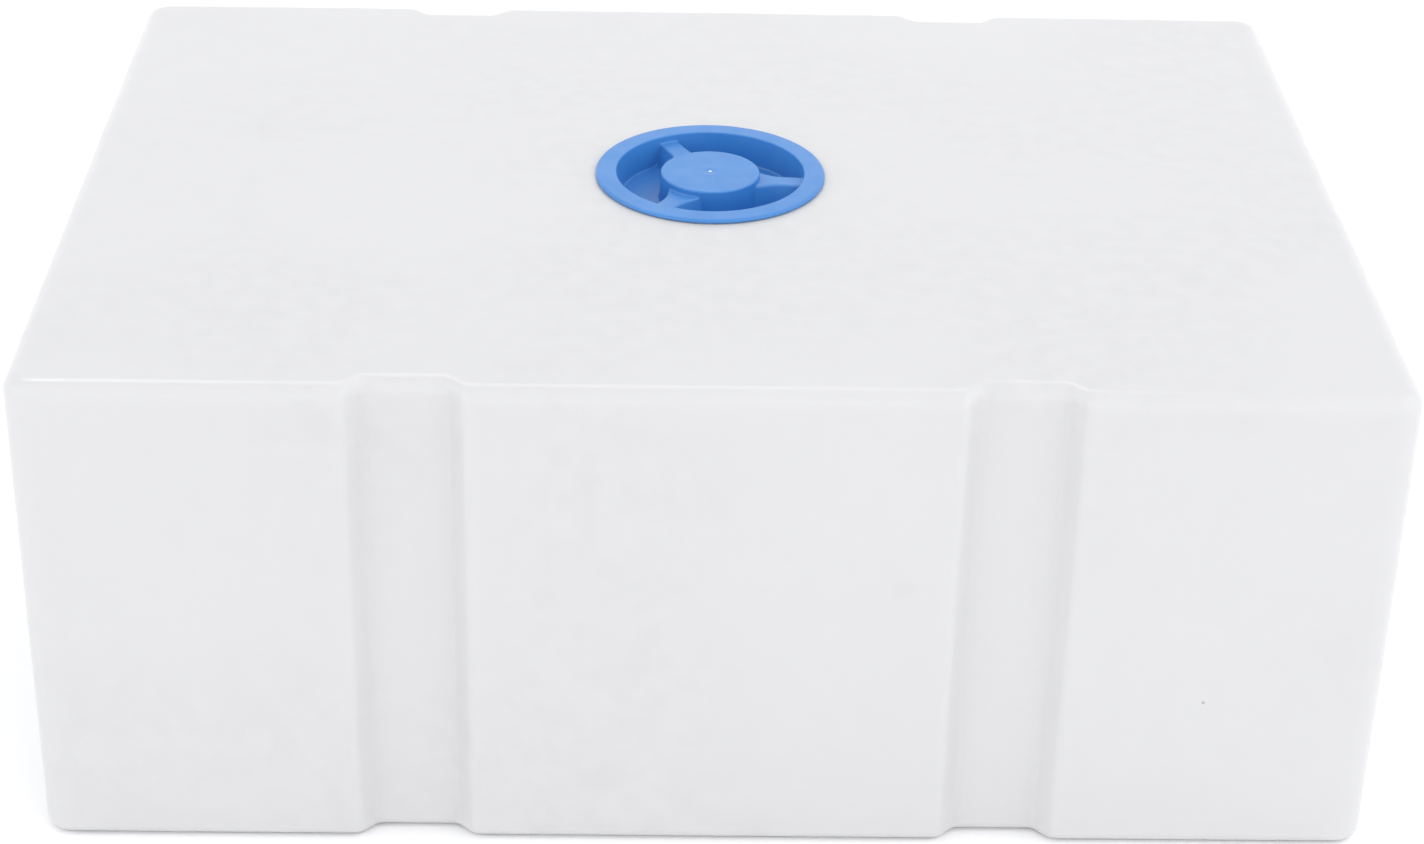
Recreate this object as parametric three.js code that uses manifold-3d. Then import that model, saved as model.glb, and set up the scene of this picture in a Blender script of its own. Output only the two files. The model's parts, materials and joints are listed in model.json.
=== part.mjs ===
// Fresh water tank: a rotomoulded polyethylene tank with a recessed screw lid and four threaded ports.
// Millimetres, +Z up. The origin is the middle of the underside, +X runs along the tank towards its outlet
// end, and -Y is the long front face.

import * as THREE from "three";
import { mergeVertices } from "three/addons/utils/BufferGeometryUtils.js";
import Module from "manifold-3d";

const wasm = await Module();
wasm.setup();

// ---------------------------------------------------------------- driving dimensions

const TURN = 2 * Math.PI;
const GAP = 0.3; // clearance between pieces that touch
const LAP = 1; // how far joined shapes sink into each other, and a cutting shape runs past a face
const FACETS = { lid: 36, port: 24, curve: 3, flare: 5 }; // sides of round faces, and steps of a curve
const ribTaper = { steps: 3, tip: 0.1 }; // a tapering rib grows from a tenth of its height in three steps

const tank = {
  length: 900, // along X
  depth: 650, // along Y
  height: 350, // along Z
  wall: 6,
  plumbRadius: 18, // the four upright edges
  topRadius: 11,
  bottomRadius: 9,
  leastInside: { plumb: 4, edge: 3, lip: 2 }, // smallest radii of the inner face
};

const groove = {
  offset: 197, // centre of each strap groove from the middle of the tank
  floorWidth: 54,
  depth: 12,
  slope: 12, // width of each sloping side
  lipRadius: 9,
  floorRadius: 6,
};

const lid = {
  flangeRadius: 82.5,
  flangeThickness: 3,
  rimRadius: 67.7, // inner edge of the flange, where the bowl begins
  bowlFloorRadius: 65.5,
  bowlDepth: 21.7, // from the top of the flange to the bowl's floor
  hubRadius: 35.6,
  skin: 3, // moulding thickness
  edge: 1, // small rounding on rims
  rimIn: 0.3, // the bowl's rim is rounded from this far inside its radius
  rimOut: 0.7, // to this far outside
  seatGap: 0.5, // under the flange, over the tank's top
};

const spoke = {
  count: 3,
  firstAngle: -4, // degrees from +X
  drop: 5.5, // top of a spoke below the top of the hub
  tipWidth: 13.5, // at the bowl's wall
  rootWidth: 27, // at the hub
  rib: 2.4, // thickness of the two webs of a spoke
  flareBend: 9, // from the root to the bend of the flare
  flareLength: 19,
  hubWallLeft: 0.1, // hub wall inside the root
  tipBury: 1.5, // how far the tip runs into the bowl's wall, and its hollow stops short of it
};

const lidThread = {
  pitch: 8,
  rootRadius: 69.5,
  crestRadius: 72,
  rootHalfWidth: 2.2,
  crestHalfWidth: 0.95,
  clearance: 0.7,
  radialClearance: 0.85,
  firstTurnBelowTop: 17.5, // the lowest turn's centre below the tank's top
  maleTurns: 1.45,
  bury: 0.8, // how deep the rib's foot lies in the cup's wall
  leadIn: 0.25, // turns of the ring's thread below the lid's
  runOut: 4, // height that the ring's thread is cut to, over the tank's top
  facets: FACETS.lid,
};

const neck = {
  outerRadius: 79,
  depth: 30,
  keyRadius: 84, // buried flange that locks the ring in the shell
  keyTop: 12,
  keyThickness: 5,
  seatRadius: 77, // outer radius of the gasket's seat
  seatDepth: 2.2,
  collar: 8, // shell material around the key
  collarLap: 4, // how far the collar starts inside the ring's outer face, before the ring's space is cut
  collarBevel: { across: 4, up: 6 },
};

const gasket = { innerRadius: 73.4, outerRadius: 76.6, thickness: 1.9 };

// Parallel pipe threads: major and minor diameter and pitch of each size.
const pipeSizes = {
  half: { major: 20.955, minor: 18.631, pitch: 1.814, facets: 14 },
  threeQuarter: { major: 26.441, minor: 24.117, pitch: 1.814, facets: 16 },
  oneAndQuarter: { major: 41.91, minor: 38.952, pitch: 2.309, facets: 20 },
};

const ports = [
  { name: "fill", size: "oneAndQuarter", end: -1, y: 190, z: 275, hexAcross: 46 },
  { name: "vent", size: "half", end: -1, y: 70, z: 285, hexAcross: 27 },
  { name: "outlet", size: "threeQuarter", end: 1, y: 40, z: 52, hexAcross: 32 },
  { name: "drain", size: "threeQuarter", end: 1, y: 190, z: 52, hexAcross: 32 },
];

const port = {
  insertWall: 6, // brass around the thread's major diameter
  insertLength: 20,
  insertProud: 0.8, // brass face in front of the pad
  mouthDepth: 3, // plain counterbore before the thread
  mouthClearance: 0.3,
  insertEdge: 0.5, // chamfer round the insert's face
  lockWidth: 1.8, // from the insert's barrel to the flats of its buried hexagonal flange
  lockFrom: 7,
  lockTo: 13,
  bossWall: 9, // shell material around the insert's barrel
  bossLength: 25,
  bossChamfer: 3,
  padProud: 1.5, // round pad on the outside of the end wall
  padMargin: 9,
  padChamfer: 0.7,
  radialClearance: 0.2,
  flankClearance: 0.22,
  rootShare: 0.34, // half width of a thread's root, and of its crest, in pitches
  crestShare: 0.1,
  threadBury: 0.5,
  threadFromEnd: 2.2, // centre of the plug's lowest turn above the spigot's end
  leadIn: 0.5, // turns of the insert's thread before and after the plug's
  maleTurns: 2.5,
  washerThickness: 2.4,
  washerWidth: 3.2,
  washerClearance: 0.5,
  headHeight: 10,
  headBevel: 1.2,
  plugWall: 2.6,
  spigotLength: 11,
  spigotEdge: 0.8,
};

// ---------------------------------------------------------------- materials

const polyethylene = { color: 0xe9eaec, roughness: 0.38, metalness: 0 };
const bluePlastic = { color: 0x4a90de, roughness: 0.4, metalness: 0 };
const whitePlastic = { color: 0xdcdde0, roughness: 0.42, metalness: 0 };
const rubber = { color: 0x1d1e20, roughness: 0.75, metalness: 0 };
const brass = { color: 0xb8974f, roughness: 0.3, metalness: 1 };
const blackPlastic = { color: 0x232427, roughness: 0.5, metalness: 0 };

// ---------------------------------------------------------------- helpers

// A closed geometry as a solid. One whose faces point inwards is turned inside out first.
function solid(geometry) {
  const bare = geometry.clone();
  bare.deleteAttribute("normal");
  bare.deleteAttribute("uv");
  const merged = mergeVertices(bare, 1e-4);
  const corners = new Uint32Array(merged.index.array);
  const build = () =>
    new wasm.Manifold(
      new wasm.Mesh({
        numProp: 3,
        vertProperties: new Float32Array(merged.attributes.position.array),
        triVerts: corners,
      }),
    );
  const made = build();
  if (made.volume() > 0) return made;
  for (let i = 0; i < corners.length; i += 3) {
    [corners[i + 1], corners[i + 2]] = [corners[i + 2], corners[i + 1]];
  }
  return build();
}

function geometryOf(made) {
  const { vertProperties, triVerts } = made.getMesh();
  return new THREE.BufferGeometry()
    .setAttribute("position", new THREE.BufferAttribute(vertProperties, 3))
    .setIndex(new THREE.BufferAttribute(triVerts, 1));
}

function node(name, made, look) {
  const mesh = new THREE.Mesh(geometryOf(made), new THREE.MeshStandardMaterial(look));
  mesh.geometry.computeVertexNormals();
  mesh.name = name;
  return mesh;
}

const union = (pieces) => pieces.reduce((sum, piece) => sum.add(piece));

// A closed outline with each corner rounded; a corner is [x, y, radius].
function roundedShape(corners) {
  const shape = new THREE.Shape();
  corners.forEach(([x, y, radius], i) => {
    const corner = new THREE.Vector2(x, y);
    const towards = ([nextX, nextY]) => new THREE.Vector2(nextX, nextY).sub(corner).normalize();
    const before = towards(corners.at(i - 1));
    const after = towards(corners[(i + 1) % corners.length]);
    const halfAngle = Math.acos(THREE.MathUtils.clamp(before.dot(after), -1, 1)) / 2;
    const reach = radius / Math.tan(halfAngle);
    const from = corner.clone().addScaledVector(before, reach);
    const to = corner.clone().addScaledVector(after, reach);
    if (i === 0) shape.moveTo(from.x, from.y);
    else shape.lineTo(from.x, from.y);
    if (radius > 0) shape.quadraticCurveTo(x, y, to.x, to.y);
  });
  shape.closePath();
  return shape;
}

function prism(shape, depth, curveSegments = FACETS.curve) {
  return new THREE.ExtrudeGeometry(shape, { depth, bevelEnabled: false, curveSegments });
}

// Solid of revolution about Z; the profile is a closed list of [radius, height].
function revolve(profile, facets) {
  const closed = [...profile, profile[0]].map(([r, z]) => new THREE.Vector2(r, z));
  return new THREE.LatheGeometry(closed, facets).rotateX(Math.PI / 2);
}

// A right-hand helical rib: a section bar bent round Z, rising one pitch a turn, tapering out at its ends
// when it is asked to. Half widths are along Z at the inner and the outer radius.
function helicalRib({ innerRadius, outerRadius, innerHalf, outerHalf, pitch, from, turns, facets, taper }) {
  const section = new THREE.Shape([
    new THREE.Vector2(0, -innerHalf),
    new THREE.Vector2(1, -outerHalf),
    new THREE.Vector2(1, outerHalf),
    new THREE.Vector2(0, innerHalf),
  ]);
  const steps = Math.round(turns * facets);
  const sweep = steps / facets;
  const bar = new THREE.ExtrudeGeometry(section, { depth: 1, steps, bevelEnabled: false });
  const place = bar.attributes.position;
  for (let i = 0; i < place.count; i += 1) {
    const along = place.getZ(i);
    const angle = along * sweep * TURN;
    const fromEnd = Math.min(along, 1 - along) * steps;
    const fade = taper ? Math.min(1, fromEnd / ribTaper.steps + ribTaper.tip) : 1;
    const radius = innerRadius + (outerRadius - innerRadius) * place.getX(i) * fade;
    place.setXYZ(
      i,
      radius * Math.cos(angle),
      radius * Math.sin(angle),
      from + place.getY(i) + pitch * along * sweep,
    );
  }
  return bar;
}

// ---------------------------------------------------------------- tank shell

// Plan outline of the tank, moved in by a margin: rounded corners, two grooves front and back.
function planShape(margin) {
  const halfLength = tank.length / 2 - margin;
  const halfDepth = tank.depth / 2 - margin;
  const spread = margin * Math.tan(Math.PI / 8);
  const floorHalf = groove.floorWidth / 2 + spread;
  const mouthHalf = floorHalf + groove.slope;
  const corner = Math.max(tank.plumbRadius - margin, tank.leastInside.plumb);
  const lip = Math.max(groove.lipRadius - margin, tank.leastInside.lip);
  const fillet = groove.floorRadius + margin;
  const grooveCorners = (centre, side) =>
    [
      [centre - side * mouthHalf, lip, 0],
      [centre - side * floorHalf, fillet, groove.depth],
      [centre + side * floorHalf, fillet, groove.depth],
      [centre + side * mouthHalf, lip, 0],
    ].map(([x, radius, inset]) => [x, -side * (halfDepth - inset), radius]);
  return roundedShape([
    [-halfLength, -halfDepth, corner],
    ...grooveCorners(-groove.offset, 1),
    ...grooveCorners(groove.offset, 1),
    [halfLength, -halfDepth, corner],
    [halfLength, halfDepth, corner],
    ...grooveCorners(groove.offset, -1),
    ...grooveCorners(-groove.offset, -1),
    [-halfLength, halfDepth, corner],
  ]);
}

// Upright outline of the tank seen along X or Y, moved in by a margin.
function uprightShape(width, margin) {
  const half = width / 2 - margin;
  const top = Math.max(tank.topRadius - margin, tank.leastInside.edge);
  const bottom = Math.max(tank.bottomRadius - margin, tank.leastInside.edge);
  return roundedShape([
    [-half, margin, bottom],
    [half, margin, bottom],
    [half, tank.height - margin, top],
    [-half, tank.height - margin, top],
  ]);
}

// The tank's block, moved in by a margin: three crossing prisms round every edge.
function tankBlock(margin) {
  const plan = prism(planShape(margin), tank.height - 2 * margin).translate(0, 0, margin);
  const alongY = prism(uprightShape(tank.length, margin), tank.depth)
    .rotateX(Math.PI / 2)
    .translate(0, tank.depth / 2, 0);
  const alongX = prism(uprightShape(tank.depth, margin), tank.length)
    .rotateX(Math.PI / 2)
    .rotateZ(Math.PI / 2)
    .translate(-tank.length / 2, 0, 0);
  return solid(plan).intersect(solid(alongY)).intersect(solid(alongX));
}

function neckCollar() {
  const inner = neck.outerRadius - neck.collarLap;
  const outer = neck.keyRadius + neck.collar;
  const bottom = tank.height - neck.depth;
  const top = tank.height - tank.wall / 2;
  return solid(
    revolve(
      [
        [inner, bottom],
        [outer - neck.collarBevel.across, bottom],
        [outer, bottom + neck.collarBevel.up],
        [outer, top],
        [inner, top],
      ],
      FACETS.lid,
    ),
  );
}

// The space in the shell that the neck ring fills, with its gap.
function neckSpace() {
  const bore = neck.outerRadius + GAP;
  const key = neck.keyRadius + GAP;
  const keyTop = tank.height - neck.keyTop + GAP;
  const keyBottom = tank.height - neck.keyTop - neck.keyThickness - GAP;
  return solid(
    revolve(
      [
        [0, tank.height - neck.depth - LAP],
        [bore, tank.height - neck.depth - LAP],
        [bore, keyBottom],
        [key, keyBottom],
        [key, keyTop],
        [bore, keyTop],
        [bore, tank.height + LAP],
        [0, tank.height + LAP],
      ],
      FACETS.lid,
    ),
  );
}

// Things on a port are made along +Z, outwards, from the end wall at z = 0, then set in place.
function setPort(made, { end, y, z }) {
  return made.rotate([0, end * 90, 0]).translate([(end * tank.length) / 2, y, z]);
}

const barrelRadius = ({ major }) => major / 2 + port.insertWall;

function portBoss(size) {
  const outer = barrelRadius(size) + port.bossWall;
  const pad = barrelRadius(size) + port.padMargin;
  return solid(
    revolve(
      [
        [0, -port.bossLength],
        [outer - port.bossChamfer, -port.bossLength],
        [outer, -port.bossLength + port.bossChamfer],
        [outer, -tank.wall / 2],
        [pad, -tank.wall / 2],
        [pad, port.padProud - port.padChamfer],
        [pad - port.padChamfer, port.padProud],
        [0, port.padProud],
      ],
      FACETS.port,
    ),
  );
}

// The space in the boss that the brass insert fills, and the way on into the tank.
function insertSpace(size) {
  const front = port.padProud + LAP;
  const cylinder = (radius, back, facets) =>
    solid(revolve([[0, back], [radius, back], [radius, front], [0, front]], facets));
  const bore = cylinder(size.minor / 2, -port.bossLength - LAP, size.facets);
  const seat = cylinder(barrelRadius(size) + GAP, -port.insertLength - GAP, FACETS.port);
  return union([bore, seat, lockFlange(size, GAP)]);
}

function hexagon(acrossFlats) {
  const radius = acrossFlats / Math.sqrt(3);
  const corners = Array.from({ length: 6 }, (_, i) => [
    radius * Math.cos((i * TURN) / 6),
    radius * Math.sin((i * TURN) / 6),
    0,
  ]);
  return roundedShape(corners);
}

// The buried hexagonal flange that keeps an insert from turning or pulling out.
function lockFlange(size, margin) {
  const across = 2 * (barrelRadius(size) + port.lockWidth + margin);
  const thickness = port.lockTo - port.lockFrom + 2 * margin;
  return solid(prism(hexagon(across), thickness).translate(0, 0, -port.lockTo - margin));
}

function tankShell() {
  const hollow = tankBlock(0).subtract(tankBlock(tank.wall));
  const bosses = ports.map((p) => setPort(portBoss(pipeSizes[p.size]), p));
  const spaces = ports.map((p) => setPort(insertSpace(pipeSizes[p.size]), p));
  const body = union([hollow, neckCollar(), ...bosses]);
  return body.subtract(union([neckSpace(), ...spaces]));
}

// ---------------------------------------------------------------- lid, gasket and neck ring

const lidTop = tank.height + lid.seatGap + lid.flangeThickness;
const flangeUnder = lidTop - lid.flangeThickness;
const bowlFloor = lidTop - lid.bowlDepth;
const cupBottom = bowlFloor - lid.skin;
const lidThreadStart = tank.height - lidThread.firstTurnBelowTop;

// Half width of the lid's thread at a radius: its flanks go straight from root to crest.
function lidThreadHalf(radius) {
  const share = (radius - lidThread.rootRadius) / (lidThread.crestRadius - lidThread.rootRadius);
  return THREE.MathUtils.lerp(lidThread.rootHalfWidth, lidThread.crestHalfWidth, share);
}

// Flange, cup and hub in one profile of even thickness: the hub is an upturned cup in the bowl's floor.
function lidProfile() {
  const { edge, skin } = lid;
  const cupRadius = lidThread.rootRadius;
  const hubInner = lid.hubRadius - skin;
  return [
    [0, lidTop],
    [lid.hubRadius - edge, lidTop],
    [lid.hubRadius, lidTop - edge],
    [lid.hubRadius, bowlFloor],
    [lid.bowlFloorRadius, bowlFloor],
    [lid.rimRadius - lid.rimIn, lidTop - edge],
    [lid.rimRadius + lid.rimOut, lidTop],
    [lid.flangeRadius - edge, lidTop],
    [lid.flangeRadius, lidTop - edge],
    [lid.flangeRadius, flangeUnder],
    [cupRadius, flangeUnder],
    [cupRadius, cupBottom + edge],
    [cupRadius - edge, cupBottom],
    [hubInner, cupBottom],
    [hubInner, lidTop - skin],
    [0, lidTop - skin],
  ];
}

// Outline of one spoke along +X, from inside the hub's wall to inside the bowl's wall, flaring at the hub.
function spokeShape(margin) {
  const start = lid.hubRadius - lid.skin + spoke.hubWallLeft;
  const bend = start + spoke.flareBend;
  const flareEnd = start + spoke.flareLength;
  const end = lid.bowlFloorRadius + spoke.tipBury;
  const tip = spoke.tipWidth / 2 - margin;
  const root = spoke.rootWidth / 2 - margin;
  const shape = new THREE.Shape();
  shape.moveTo(start, -root);
  shape.quadraticCurveTo(bend, -tip, flareEnd, -tip);
  shape.lineTo(end, -tip);
  shape.lineTo(end, tip);
  shape.lineTo(flareEnd, tip);
  shape.quadraticCurveTo(bend, tip, start, root);
  shape.closePath();
  return shape;
}

function roundSpokes(one) {
  const angles = Array.from({ length: spoke.count }, (_, i) => spoke.firstAngle + (i * 360) / spoke.count);
  return angles.map((angle) => one.rotate([0, 0, angle]));
}

function spokes() {
  const top = lidTop - spoke.drop;
  const foot = cupBottom + LAP;
  const bar = prism(spokeShape(0), top - foot, FACETS.flare).translate(0, 0, foot);
  return roundSpokes(solid(bar));
}

// The hollow under each spoke, open at the underside like the one under the hub, between their two walls.
function spokeHollows() {
  const top = lidTop - spoke.drop - spoke.rib;
  const from = lid.hubRadius - LAP;
  const to = lid.bowlFloorRadius - spoke.tipBury;
  const mouth = cupBottom - LAP;
  const below = mouth - LAP;
  const room = prism(spokeShape(spoke.rib), top - mouth, FACETS.flare).translate(0, 0, mouth);
  const between = revolve([[from, below], [to, below], [to, lidTop], [from, lidTop]], FACETS.lid);
  return roundSpokes(solid(room).intersect(solid(between)));
}

function lidRib() {
  const buried = lidThread.rootRadius - lidThread.bury;
  return solid(
    helicalRib({
      innerRadius: buried,
      outerRadius: lidThread.crestRadius,
      innerHalf: lidThreadHalf(buried),
      outerHalf: lidThread.crestHalfWidth,
      pitch: lidThread.pitch,
      from: lidThreadStart,
      turns: lidThread.maleTurns,
      facets: lidThread.facets,
      taper: true,
    }),
  );
}

function screwLid() {
  const body = solid(revolve(lidProfile(), FACETS.lid));
  return union([body, ...spokes()]).subtract(union(spokeHollows())).add(lidRib());
}

// The groove that the lid's thread runs in: the same rib, larger by the clearance, from below the lowest
// turn to past the ring's mouth.
function neckThreadSpace() {
  const inner = lidThread.rootRadius - LAP;
  const outer = lidThread.crestRadius + lidThread.radialClearance;
  const rise = tank.height + lidThread.runOut - lidThreadStart;
  return solid(
    helicalRib({
      innerRadius: inner,
      outerRadius: outer,
      innerHalf: lidThreadHalf(inner) + lidThread.clearance,
      outerHalf: lidThreadHalf(outer) + lidThread.clearance,
      pitch: lidThread.pitch,
      from: 0,
      turns: rise / lidThread.pitch + lidThread.leadIn,
      facets: lidThread.facets,
      taper: false,
    }),
  )
    .rotate([0, 0, -lidThread.leadIn * 360])
    .translate([0, 0, lidThreadStart - lidThread.leadIn * lidThread.pitch]);
}

function neckRing() {
  const bore = lidThread.rootRadius + lidThread.radialClearance;
  const top = tank.height - GAP;
  const seat = tank.height - neck.seatDepth;
  const bottom = tank.height - neck.depth;
  const keyTop = tank.height - neck.keyTop;
  const keyBottom = keyTop - neck.keyThickness;
  const outside = solid(
    revolve(
      [
        [0, bottom],
        [neck.outerRadius, bottom],
        [neck.outerRadius, keyBottom],
        [neck.keyRadius, keyBottom],
        [neck.keyRadius, keyTop],
        [neck.outerRadius, keyTop],
        [neck.outerRadius, top],
        [neck.seatRadius, top],
        [neck.seatRadius, seat],
        [0, seat],
      ],
      FACETS.lid,
    ),
  );
  const way = solid(
    revolve([[0, bottom - LAP], [bore, bottom - LAP], [bore, top + LAP], [0, top + LAP]], lidThread.facets),
  );
  return outside.subtract(way).subtract(neckThreadSpace());
}

function lidGasket() {
  const bottom = tank.height - neck.seatDepth + GAP;
  const top = bottom + gasket.thickness;
  const { innerRadius, outerRadius } = gasket;
  const section = [
    [innerRadius, bottom],
    [outerRadius, bottom],
    [outerRadius, top],
    [innerRadius, top],
  ];
  return solid(revolve(section, FACETS.lid));
}

// ---------------------------------------------------------------- port pieces

const insertFace = port.padProud + port.insertProud;

// Radii and half widths of a plug's thread, and of the insert's thread around it.
function pipeThread(size) {
  const core = size.minor / 2 - port.radialClearance;
  const crest = size.major / 2 - port.radialClearance;
  const half = (radius) => {
    const share = (radius - core) / (crest - core);
    return THREE.MathUtils.lerp(port.rootShare, port.crestShare, share) * size.pitch;
  };
  return {
    core,
    crest,
    half,
    bore: size.minor / 2 + port.radialClearance,
    root: size.major / 2 + port.radialClearance,
  };
}

// The lowest turn of a plug's thread, measured from the end wall.
const threadStart = insertFace - port.spigotLength + port.threadFromEnd;

function insert(size) {
  const { bore, root, half } = pipeThread(size);
  const barrel = barrelRadius(size);
  const back = -port.insertLength;
  const mouth = root + port.mouthClearance;
  const mouthFloor = insertFace - port.mouthDepth;
  const barrelSolid = solid(
    revolve(
      [
        [0, back],
        [barrel, back],
        [barrel, insertFace - port.insertEdge],
        [barrel - port.insertEdge, insertFace],
        [0, insertFace],
      ],
      FACETS.port,
    ),
  );
  const way = solid(
    revolve(
      [
        [0, back - LAP],
        [bore, back - LAP],
        [bore, mouthFloor],
        [mouth, mouthFloor],
        [mouth, insertFace + LAP],
        [0, insertFace + LAP],
      ],
      size.facets,
    ),
  );
  const inner = bore - port.threadBury;
  const threadSpace = solid(
    helicalRib({
      innerRadius: inner,
      outerRadius: root,
      innerHalf: half(inner) + port.flankClearance,
      outerHalf: half(root) + port.flankClearance,
      pitch: size.pitch,
      from: 0,
      turns: (mouthFloor - threadStart) / size.pitch + 2 * port.leadIn,
      facets: size.facets,
      taper: false,
    }),
  )
    .rotate([0, 0, -port.leadIn * 360])
    .translate([0, 0, threadStart - port.leadIn * size.pitch]);
  return barrelSolid.add(lockFlange(size, 0)).subtract(way).subtract(threadSpace);
}

function washer(size) {
  const bottom = insertFace + GAP;
  const top = bottom + port.washerThickness;
  const inner = size.major / 2 + port.washerClearance;
  const outer = inner + port.washerWidth;
  return solid(revolve([[inner, bottom], [outer, bottom], [outer, top], [inner, top]], FACETS.port));
}

// A hollow threaded spigot under a chamfered hexagon head.
function plug(size, hexAcross) {
  const { core, crest, half } = pipeThread(size);
  const seat = insertFace + GAP + port.washerThickness + GAP;
  const end = insertFace - port.spigotLength;
  const hollow = core - port.plugWall;
  const spigot = solid(
    revolve(
      [
        [0, seat - LAP],
        [hollow, seat - LAP],
        [hollow, end],
        [core - port.spigotEdge, end],
        [core, end + port.spigotEdge],
        [core, seat + LAP],
        [0, seat + LAP],
      ],
      size.facets,
    ),
  );
  const bevel = port.headBevel;
  const head = new THREE.ExtrudeGeometry(hexagon(hexAcross - 2 * bevel), {
    depth: port.headHeight - 2 * bevel,
    bevelSize: bevel,
    bevelThickness: bevel,
    bevelSegments: 1,
  }).translate(0, 0, seat + bevel);
  const buried = core - port.threadBury;
  const rib = solid(
    helicalRib({
      innerRadius: buried,
      outerRadius: crest,
      innerHalf: half(buried),
      outerHalf: half(crest),
      pitch: size.pitch,
      from: threadStart,
      turns: port.maleTurns,
      facets: size.facets,
      taper: true,
    }),
  );
  return union([spigot, solid(head), rib]);
}

// ---------------------------------------------------------------- assembly

const freshWaterTank = new THREE.Group();
freshWaterTank.add(
  node("tank_shell", tankShell(), polyethylene),
  node("neck_ring", neckRing(), whitePlastic),
  node("lid_gasket", lidGasket(), rubber),
  node("screw_lid", screwLid(), bluePlastic),
);
for (const p of ports) {
  const size = pipeSizes[p.size];
  freshWaterTank.add(
    node(`${p.name}_insert`, setPort(insert(size), p), brass),
    node(`${p.name}_washer`, setPort(washer(size), p), rubber),
    node(`${p.name}_plug`, setPort(plug(size, p.hexAcross), p), blackPlastic),
  );
}

export default freshWaterTank;
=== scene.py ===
"""A fresh water tank: a milky rotomoulded shell, a blue screw lid and four plugged pipe ports.

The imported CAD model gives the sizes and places, and a finer piece on the same body replaces each of its
nodes. +X runs along the tank towards its outlet end, -Y is the long front face and +Z is up. Lengths are in
millimetres until mesh_piece() turns them into metres.
"""

import json
import math

import bmesh
import bpy
import numpy as np
from mathutils import Matrix, Vector, noise


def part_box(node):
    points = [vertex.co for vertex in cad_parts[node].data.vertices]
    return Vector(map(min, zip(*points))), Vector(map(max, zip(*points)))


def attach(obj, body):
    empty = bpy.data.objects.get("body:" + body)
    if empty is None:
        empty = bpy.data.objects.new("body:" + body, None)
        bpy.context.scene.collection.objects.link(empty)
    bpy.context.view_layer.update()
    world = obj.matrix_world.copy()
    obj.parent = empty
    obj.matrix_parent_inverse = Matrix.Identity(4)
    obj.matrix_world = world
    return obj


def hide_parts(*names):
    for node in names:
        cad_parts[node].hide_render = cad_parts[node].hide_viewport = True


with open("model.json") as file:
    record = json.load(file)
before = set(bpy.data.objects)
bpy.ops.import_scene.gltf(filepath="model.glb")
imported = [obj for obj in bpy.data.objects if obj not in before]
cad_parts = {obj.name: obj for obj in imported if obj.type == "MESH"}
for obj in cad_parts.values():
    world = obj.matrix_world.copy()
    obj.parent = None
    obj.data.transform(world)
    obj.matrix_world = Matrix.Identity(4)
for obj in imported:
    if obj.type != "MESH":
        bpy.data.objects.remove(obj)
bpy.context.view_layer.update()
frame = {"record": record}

MM = 0.001
TURN = 2 * math.pi
GAP = 0.3  # between pieces that touch


def box_mm(node):
    low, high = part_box(node)
    return np.array(low) / MM, np.array(high) / MM


# ---------------------------------------------------------------- sizes, in millimetres

MOUNTS = {m["name"]: np.array(m["pos_m"]) / MM for m in frame["record"]["mounts"]}
SHELL_HIGH = box_mm("tank_shell")[1]
LID_LOW, LID_HIGH = box_mm("screw_lid")

PAD_PROUD = 1.5  # round pads on the end walls
HALF_LENGTH = SHELL_HIGH[0] - PAD_PROUD
HALF_DEPTH = SHELL_HIGH[1]
HEIGHT = SHELL_HIGH[2]
WALL = 6.0
PLUMB_RADIUS = 18.0  # the four upright edges
TOP_RADIUS = 11.0
BOTTOM_RADIUS = 9.0
CORNER_STEPS = 6

GROOVE_X = MOUNTS["strap_seat_front_right"][0]
GROOVE_DEPTH = HALF_DEPTH + MOUNTS["strap_seat_front_right"][1]
GROOVE_FLOOR_HALF = 27.0
GROOVE_SLOPE = 12.0
GROOVE_LIP = 10.0
GROOVE_FILLET = 9.0
GROOVE_FADE = (60.0, 14.0)  # where a groove starts to grow, and is whole, in from the long faces

CROWN = 0.7  # how far the top's corners lie below its middle
BOW = 0.5  # how far the ends of the long faces lie in from their middle
WAVE = 0.7  # greatest inward waviness of the walls
WAVE_LENGTH = 260.0

SKIN_STEP = 13.0  # longest step of the shell's grid
HOLE_STEP = 7.6  # the same in the bands that hold the holes
SAME_LINE = 0.05  # stops no further apart than this are one line of the grid

# The neck of the shell and the ring moulded into it.
NECK_SKIN = 104.0  # the skin is flat inside this radius
NECK_OUTER = 79.0
NECK_KEY = 84.0
NECK_KEY_TOP = 12.0
NECK_KEY_THICKNESS = 5.0
NECK_DEPTH = 30.0
NECK_COLLAR = 8.0
SEAT_RADIUS = 77.0
SEAT_DEPTH = 2.2

# The lid.
LID_TOP = LID_HIGH[2]
FLANGE_RADIUS = LID_HIGH[0]
FLANGE_UNDER = LID_TOP - 3.0
RIM_RADIUS = 67.7
BOWL_FLOOR_RADIUS = 65.5
BOWL_FLOOR = LID_TOP - 21.7
CUP_BOTTOM = LID_LOW[2]
HUB_RADIUS = 35.6
HUB_DRAFT = 0.9
HUB_TOP = LID_TOP - 0.5
GATE_AND_HIGHLIGHT_RADIUS = 1.7  # the pale dot at the moulding gate: the gate's mark, lightened into a painted highlight on its nub
SKIN = 3.0
SPOKE_COUNT = 3
SPOKE_ANGLE = math.radians(-4)
SPOKE_TOP = LID_TOP - 5.5
SPOKE_TIP = 6.75  # half widths
SPOKE_ROOT = 15.5
SPOKE_FLARE_START = HUB_RADIUS - SKIN
SPOKE_FLARE = 19.0
SPOKE_RIB = 2.4

LID_THREAD = {"pitch": 8.0, "root": 69.5, "crest": 72.0, "start": HEIGHT - 17.5, "turns": 1.45}
LID_THREAD_HALF = (2.2, 0.95)  # half widths of its root and crest
LID_THREAD_CLEARANCE = (0.85, 0.7)  # round the crest, and on each flank
LID_THREAD_STEP = 0.42  # between the rings that draw it

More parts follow.
